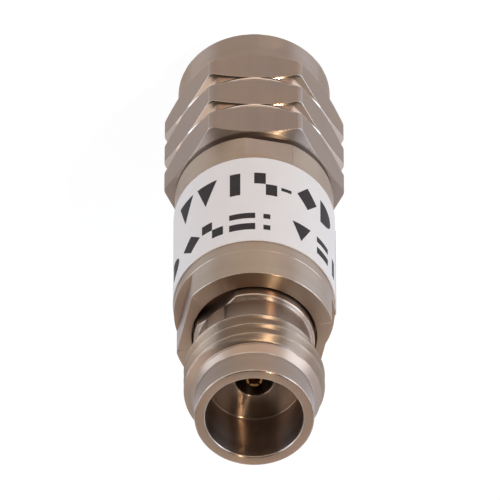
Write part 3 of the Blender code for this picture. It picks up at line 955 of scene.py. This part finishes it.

# %% [markdown]
# Wear, and the painted highlight that goes with it, need to know where the edges are. The meshes carry a
# number called rim, which is 1 on the rounded corners of an outline and mostly lower along the edges of the
# flats, so the brighter rim colour follows the real edges instead of guessing them from the shading.

# %% Worn edges with a painted highlight, and faint stains
def worn_and_highlit_edges_effect():
    """The rims of the meshes, worn in patches: partly wear, partly a painted highlight."""
    tree, given, result = new_effect("worn_and_highlit_edges", {"Amount": 0.6}, ("Mask",))
    rim = put(tree, "ShaderNodeAttribute", attribute_name="rim").outputs["Fac"]
    patches = spread(tree, noise(tree, object_place(tree), 1500.0, 3.0), 0.35, 0.6)
    worn = maths(tree, "MULTIPLY", rim, patches)
    tree.links.new(maths(tree, "MULTIPLY", worn, given["Amount"]), result["Mask"])
    return tree


def faint_stains_effect():
    """Cloudy patches anywhere on the surface."""
    tree, given, result = new_effect("faint_stains", {"Amount": 0.3, "Per metre": 350.0}, ("Mask",))
    patches = spread(tree, noise(tree, object_place(tree), given["Per metre"], 5.0), 0.45, 0.7)
    tree.links.new(maths(tree, "MULTIPLY", patches, given["Amount"]), result["Mask"])
    return tree


worn_and_highlit_edges = worn_and_highlit_edges_effect()
faint_stains = faint_stains_effect()
print("shared effects:", [group.name for group in bpy.data.node_groups])


# %% [markdown]
# ## Metals
#
# Passivated stainless steel is warmer and darker than people expect. Its base colour here is a brownish
# grey, and the white of the floor it reflects does the rest. Turned metal also stretches a highlight across
# the marks, which the anisotropic setting does when it is told which way they run.
#
# One steel looks different after each tool, so there are several finishes: a rough one on the thread, closer
# ones in the counterbore and on the pilot and collar, a soft sheen on the tapered lead, smooth cuts in the
# nut's grooves and straight grain on the milled flats. The grooves also get a brighter colour, which is
# painted light against the shade inside them. Each face of a fine mesh carries the number of the finish that
# it takes.

# %% Metal material
# The Mix node keeps its sockets for colours at these places.
MIX_SHARE, MIX_FIRST, MIX_SECOND, MIX_RESULT = 0, 6, 7, 2
TONE_SWING = (0.86, 1.12)
ROUGH_SWING = 0.06
STAIN_AMOUNT = 0.5
WEAR_AND_HIGHLIGHT_AMOUNT = 0.7
ACROSS_MARKS = 0.25


def mix_colours(tree, share, first, second):
    inputs = {MIX_SHARE: share, MIX_FIRST: first, MIX_SECOND: second}
    return put(tree, "ShaderNodeMix", inputs, data_type="RGBA").outputs[MIX_RESULT]


def metal(name, colour, stain, rim_colour, rough, marks, per_metre, depth, stretch):
    """A metal with tool marks, bright rims that are partly wear and partly a painted highlight, and faint
    stains.
    """
    material = bpy.data.materials.new(name)
    material.use_nodes = True
    tree = material.node_tree
    shader = tree.nodes["Principled BSDF"]
    tool = use_effect(tree, marks, per_metre=per_metre)
    stains = use_effect(tree, faint_stains, amount=STAIN_AMOUNT)["Mask"]
    edges = use_effect(tree, worn_and_highlit_edges, amount=WEAR_AND_HIGHLIGHT_AMOUNT)["Mask"]
    tone = spread(tree, tool["Tone"], 0.0, 1.0, *TONE_SWING)
    even = put(tree, "ShaderNodeCombineColor", {"Red": tone, "Green": tone, "Blue": tone}).outputs[0]
    stained = mix_colours(tree, stains, (*colour, 1.0), (*stain, 1.0))
    shaded = vector_maths(tree, "MULTIPLY", stained, even)
    tree.links.new(mix_colours(tree, edges, shaded, (*rim_colour, 1.0)), shader.inputs["Base Color"])
    uneven = spread(tree, tool["Tone"], 0.0, 1.0, rough - ROUGH_SWING, rough + ROUGH_SWING)
    tree.links.new(uneven, shader.inputs["Roughness"])
    bump = put(tree, "ShaderNodeBump", {"Height": tool["Height"], "Strength": 1.0, "Distance": depth})
    tree.links.new(bump.outputs[0], shader.inputs["Normal"])
    shader.inputs["Metallic"].default_value = 1.0
    if stretch:
        shader.inputs["Anisotropic"].default_value = stretch
        shader.inputs["Anisotropic Rotation"].default_value = ACROSS_MARKS
        tangent = put(tree, "ShaderNodeTangent", direction_type="RADIAL", axis="Z")
        tree.links.new(tangent.outputs[0], shader.inputs["Tangent"])
    return material


# %% Each metal's finish
STEEL = (0.40, 0.288, 0.208)
STEEL_STAINED = (0.34, 0.225, 0.145)
STEEL_SMOOTH = (0.32, 0.222, 0.16)
STEEL_NUT = (0.34, 0.252, 0.20)
STEEL_FLAT = (0.40, 0.29, 0.23)
# The grooves' steel is brighter than the nut's: painted light against the shade in the V-grooves.
PAINTED_LIGHT_GROOVE = (0.46, 0.35, 0.275)
STEEL_BORED = (0.33, 0.245, 0.19)
# The rims' colour: brighter steel, partly wear and partly a painted highlight.
STEEL_WORN_AND_HIGHLIT = (0.52, 0.42, 0.34)
STEEL_MILLED = (0.285, 0.202, 0.16)
SPRING_TONES = ((0.45, 0.43, 0.42), (0.38, 0.34, 0.3), (0.6, 0.58, 0.56))
# The gold is much darker than plain gold plating: painted shade for the contact deep in the counterbore.
GOLD_WITH_PAINTED_SHADE = ((0.55, 0.33, 0.12), (0.45, 0.26, 0.09), (0.7, 0.46, 0.2))
MARK_DEPTH = 0.004 * MM


def steel(name, colour, rough, per_metre, depth, stretch, marks=turned_marks, stain=STEEL_STAINED):
    """One finish of the stainless steel, with its marks so many times as deep as the usual ones."""
    return metal(name, colour, stain, STEEL_WORN_AND_HIGHLIT, rough, marks, per_metre, MARK_DEPTH * depth, stretch)


turned_steel = steel("turned_steel", STEEL, 0.29, 9000.0, 1.0, 1.0)
smooth_steel = steel("smooth_steel", STEEL_SMOOTH, 0.23, 12000.0, 0.5, 0.95)
threaded_steel = steel("threaded_steel", STEEL, 0.38, 9000.0, 2.0, 1.0)
bored_steel = steel("bored_steel", STEEL_BORED, 0.24, 9000.0, 2.0, 1.0)
soft_steel = steel("soft_steel", STEEL_SMOOTH, 0.36, 9000.0, 1.0, 0.4)
milled_steel = steel("milled_steel", STEEL_MILLED, 0.38, 12000.0, 1.0, 0.0, milled_grain)
nut_steel = steel("nut_steel", STEEL_NUT, 0.36, 9000.0, 1.0, 1.0)
groove_finish_painted_light = steel("groove_finish_painted_light", PAINTED_LIGHT_GROOVE, 0.13, 12000.0, 0.125, 0.6, stain=STEEL_FLAT)
flat_steel = steel("flat_steel", STEEL_FLAT, 0.38, 12000.0, 1.0, 0.0, milled_grain)
ring_steel = metal("ring_steel", *SPRING_TONES, 0.35, turned_marks, 9000.0, MARK_DEPTH, 0.0)
gold = metal("gold_plate", *GOLD_WITH_PAINTED_SHADE, 0.32, turned_marks, 15000.0, MARK_DEPTH, 0.0)
print("metals:", [material.name for material in bpy.data.materials])

# %% [markdown]
# ## Film, ink, plastic and ceramic
#
# None of these is a metal, so the lamps light them directly. A little noise in the tone and in the height
# keeps them from looking like flat paint.

# %% Plain materials
def plain(name, colour, darker, rough, per_metre, depth, shine=0.5):
    """A material that isn't metal, with a slightly uneven tone and surface."""
    material = bpy.data.materials.new(name)
    material.use_nodes = True
    tree = material.node_tree
    shader = tree.nodes["Principled BSDF"]
    grain = noise(tree, object_place(tree), per_metre, 4.0)
    tree.links.new(mix_colours(tree, grain, (*darker, 1.0), (*colour, 1.0)), shader.inputs["Base Color"])
    bump = put(tree, "ShaderNodeBump", {"Height": grain, "Strength": 1.0, "Distance": depth})
    tree.links.new(bump.outputs[0], shader.inputs["Normal"])
    shader.inputs["Roughness"].default_value = rough
    shader.inputs["Specular IOR Level"].default_value = shine
    return material


film_white = plain("label_film", (0.86, 0.755, 0.685), (0.82, 0.72, 0.65), 0.5, 600.0, 0.003 * MM)
ink_black = plain("label_ink", (0.04, 0.028, 0.026), (0.03, 0.02, 0.018), 0.6, 4000.0, 0.0005 * MM, 0.15)
bead = plain("bead_plastic", (0.80, 0.76, 0.66), (0.74, 0.70, 0.60), 0.5, 3000.0, 0.001 * MM)
ceramic = plain("alumina", (0.90, 0.89, 0.85), (0.86, 0.85, 0.81), 0.6, 6000.0, 0.001 * MM)

# %% Give every piece its finish and its body
CONNECTOR_FINISHES = (turned_steel, milled_steel, smooth_steel, threaded_steel, soft_steel, bored_steel)
FINE_PIECES = (
    (connector, "female_shell", "body", CONNECTOR_FINISHES, "stainless"),
    (sleeve, "body_shell", "body", (turned_steel, flat_steel), "stainless"),
    (plug, "male_shell", "body", (turned_steel,), "stainless"),
    (nut, "coupling_nut", "nut", (nut_steel, milled_steel, groove_finish_painted_light), "stainless"),
    (film, "label", "body", (film_white,), "label_film"),
)
for piece, solid, body, finishes, slot in FINE_PIECES:
    for finish in finishes:
        piece.data.materials.append(finish)
    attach(piece, body)
    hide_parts(solid)
ink.data.materials.append(ink_black)
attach(ink, "body")

FINISH_OF_SLOT = {
    "stainless": turned_steel,
    "spring_steel": ring_steel,
    "gold_plate": gold,
    "bead_plastic": bead,
    "alumina": ceramic,
    "label_film": film_white,
}
for solid in frame["record"]["subparts"]:
    mesh = node[solid["node"]].data
    mesh.materials.clear()
    mesh.materials.append(FINISH_OF_SLOT[solid["material_slot"]])
print("finishes set on", len(node), "solids and", len(FINE_PIECES) + 1, "fine pieces")

# %% [markdown]
# ## Floor
#
# A pale disc that curves up into a wall all round, so that no edge of it shows in the metal. It has to look
# white behind the part and still take its shadow. A share of it shines by itself, but only for rays that
# look at it straight or in a reflection. The rest is ordinary white paint, lit by the lamps.
#
# In reflections the glow carries painted light and shade. Close to the part it stays white. Further out it
# is painted a little dimmer on the left, bluer and brighter on the right, and brighter still far out at the
# sides, as unequal lamps and the part's own soft shadow would make white paper look. This painted light
# gives each side of the metal its own tone.

# %% Floor with a curved wall
FLOOR_FLAT = 1.2
FLOOR_CURVE = 0.5
FLOOR_TOP = 1.4
FLOOR_STEPS = 96
FLOOR_CURVE_STEPS = 16
FLOOR_INNER = (0.001, 0.05)


def add_floor():
    outline = [(radius, 0.0) for radius in (*FLOOR_INNER, FLOOR_FLAT)]
    for step in range(1, FLOOR_CURVE_STEPS + 1):
        turn = math.pi / 2 * step / FLOOR_CURVE_STEPS
        outline.append((FLOOR_FLAT + FLOOR_CURVE * math.sin(turn), FLOOR_CURVE * (1 - math.cos(turn))))
    outline.append((FLOOR_FLAT + FLOOR_CURVE, FLOOR_TOP))
    work = bmesh.new()
    rings = [
        [work.verts.new((r * math.cos(a), r * math.sin(a), z)) for a in even_angles(FLOOR_STEPS)]
        for r, z in outline
    ]
    for below, above in zip(rings, rings[1:]):
        for step in range(FLOOR_STEPS):
            ahead = (step + 1) % FLOOR_STEPS
            work.faces.new((below[step], below[ahead], above[ahead], above[step]))
    work.faces.new(rings[0])
    bmesh.ops.recalc_face_normals(work, faces=work.faces)
    mesh = bpy.data.meshes.new("floor")
    work.to_mesh(mesh)
    work.free()
    mesh.shade_smooth()
    floor = bpy.data.objects.new("floor", mesh)
    bpy.context.scene.collection.objects.link(floor)
    return floor


WHITE = (1.0, 1.0, 1.0, 1.0)
SEEN_WHITE = (1.1, 1.1, 1.1, 1.0)
# Painted light and shade for the floor's glow in reflections: each side's tint, the span over which it fades
# in, and how much brighter the sides are painted far out.
LEFT_PAINTED_LIGHT = (0.75, 0.86, 1.02, 1.0)
RIGHT_PAINTED_LIGHT = (0.98, 1.14, 1.43, 1.0)
SIDE_PAINT_SPAN = (6.0 * MM, 22.0 * MM)
FAR_PAINTED_LIGHT = 0.5
FAR_PAINT_SPAN = (0.03, 0.15)
PAINT = (0.85, 0.85, 0.85, 1.0)
FLOOR_GLOW = 0.8
FLOOR_LEVEL = 1.03


def floor_with_painted_light(tree):
    """The floor's colour in reflections: white close by, then painted tints by side, and painted brighter
    far out.
    """
    level = vector_maths(tree, "MULTIPLY", object_place(tree), ACROSS)
    reach = vector_maths(tree, "LENGTH", level, give="Value")
    sideways = vector_maths(tree, "NORMALIZE", level)
    side = put(tree, "ShaderNodeSeparateXYZ", {"Vector": sideways}).outputs["X"]
    share = maths(tree, "MULTIPLY", side, spread(tree, reach, *SIDE_PAINT_SPAN))
    other = maths(tree, "MULTIPLY", share, -1.0)
    tinted = mix_colours(tree, other, mix_colours(tree, share, WHITE, LEFT_PAINTED_LIGHT), RIGHT_PAINTED_LIGHT)
    far = spread(tree, reach, *FAR_PAINT_SPAN, 0.0, FAR_PAINTED_LIGHT)
    lift = maths(tree, "MULTIPLY_ADD", maths(tree, "ABSOLUTE", side), far, 1.0)
    return put(tree, "ShaderNodeVectorMath", {0: tinted, "Scale": lift}, operation="SCALE").outputs[0]


def floor_material(glow, level):
    """White paint of which a share shines by itself for straight looks and reflections."""
    material = bpy.data.materials.new("floor_white")
    material.use_nodes = True
    tree = material.node_tree
    tree.nodes.clear()
    ray = put(tree, "ShaderNodeLightPath").outputs
    seen = maths(tree, "MAXIMUM", ray["Is Camera Ray"], ray["Is Glossy Ray"])
    share = maths(tree, "MULTIPLY", maths(tree, "MAXIMUM", seen, ray["Is Transmission Ray"]), glow)
    paint = put(tree, "ShaderNodeBsdfDiffuse", {"Color": PAINT}).outputs[0]
    colour = mix_colours(tree, ray["Is Camera Ray"], floor_with_painted_light(tree), SEEN_WHITE)
    light = put(tree, "ShaderNodeEmission", {"Color": colour, "Strength": level}).outputs[0]
    both = put(tree, "ShaderNodeMixShader", {0: share, 1: paint, 2: light}).outputs[0]
    put(tree, "ShaderNodeOutputMaterial", {"Surface": both})
    return material


floor = add_floor()
floor.data.materials.append(floor_material(FLOOR_GLOW, FLOOR_LEVEL))

# %% [markdown]
# ## Light
#
# Two large cool panels low at the sides do most of the work. A wide warm one in front, two high at the sides
# and one behind are dimmer, and each of them tints the faces that look its way. One small warm lamp, high
# and a little to the right, draws the streaks: a turned face stretches it into a line that points at the
# axis.

# %% Panels, a small warm lamp and a dim surround
def add_lamp(name, direction, distance, width, height, colour, radiance):
    """An oval lamp that faces the part. Radiance is how bright it looks in a mirror."""
    data = bpy.data.lights.new(name, "AREA")
    data.shape = "ELLIPSE"
    data.size = width
    data.size_y = height
    data.color = colour
    data.energy = radiance * math.pi * math.pi * width * height / 4
    lamp = bpy.data.objects.new(name, data)
    lamp.location = Vector(direction).normalized() * distance
    lamp.rotation_euler = Vector(direction).to_track_quat("Z", "Y").to_euler()
    lamp.visible_camera = False
    bpy.context.scene.collection.objects.link(lamp)
    return lamp


# Each lamp: the way to it, its distance, its width and height in metres, its colour and its radiance.
LAMPS = (
    ("left_panel", (0.88, -0.36, 0.30), 0.9, 0.66, 0.62, (0.68, 0.92, 1.24), 2.7),
    ("right_panel", (-0.88, -0.36, 0.30), 0.9, 0.66, 0.62, (0.68, 0.92, 1.24), 3.6),
    ("front_panel", (0.0, -0.96, 0.28), 0.9, 1.7, 0.6, (1.0, 0.87, 0.76), 0.8),
    ("left_top_panel", (0.60, 0.12, 0.79), 1.0, 0.7, 0.7, (1.0, 0.97, 0.95), 1.2),
    ("right_top_panel", (-0.60, 0.12, 0.79), 1.0, 0.7, 0.7, (1.0, 0.98, 0.97), 0.55),
    ("back_panel", (0.0, 0.6, 0.8), 1.0, 0.7, 0.7, (0.93, 0.94, 1.0), 0.9),
    ("warm_key", (-0.232, -0.214, 0.945), 0.9, 0.022, 0.022, (1.0, 0.84, 0.62), 1400.0),
)
for lamp in LAMPS:
    add_lamp(*lamp)
print("lamps:", [lamp[0] for lamp in LAMPS])

SURROUND_COLOUR = (1.0, 0.85, 0.68, 1.0)
SURROUND_LEVEL = 0.085


def set_surround(level):
    """A dim warm room for the metal, and plain white where the camera looks past the floor."""
    world = bpy.data.worlds.new("surround")
    bpy.context.scene.world = world
    world.use_nodes = True
    tree = world.node_tree
    tree.nodes.clear()
    camera_ray = put(tree, "ShaderNodeLightPath").outputs["Is Camera Ray"]
    dim = put(tree, "ShaderNodeBackground", {"Color": SURROUND_COLOUR, "Strength": level}).outputs[0]
    white = put(tree, "ShaderNodeBackground", {"Color": WHITE, "Strength": 1.0}).outputs[0]
    both = put(tree, "ShaderNodeMixShader", {0: camera_ray, 1: dim, 2: white}).outputs[0]
    put(tree, "ShaderNodeOutputWorld", {"Surface": both})


set_surround(SURROUND_LEVEL)
bpy.context.scene.view_settings.view_transform = "Standard"
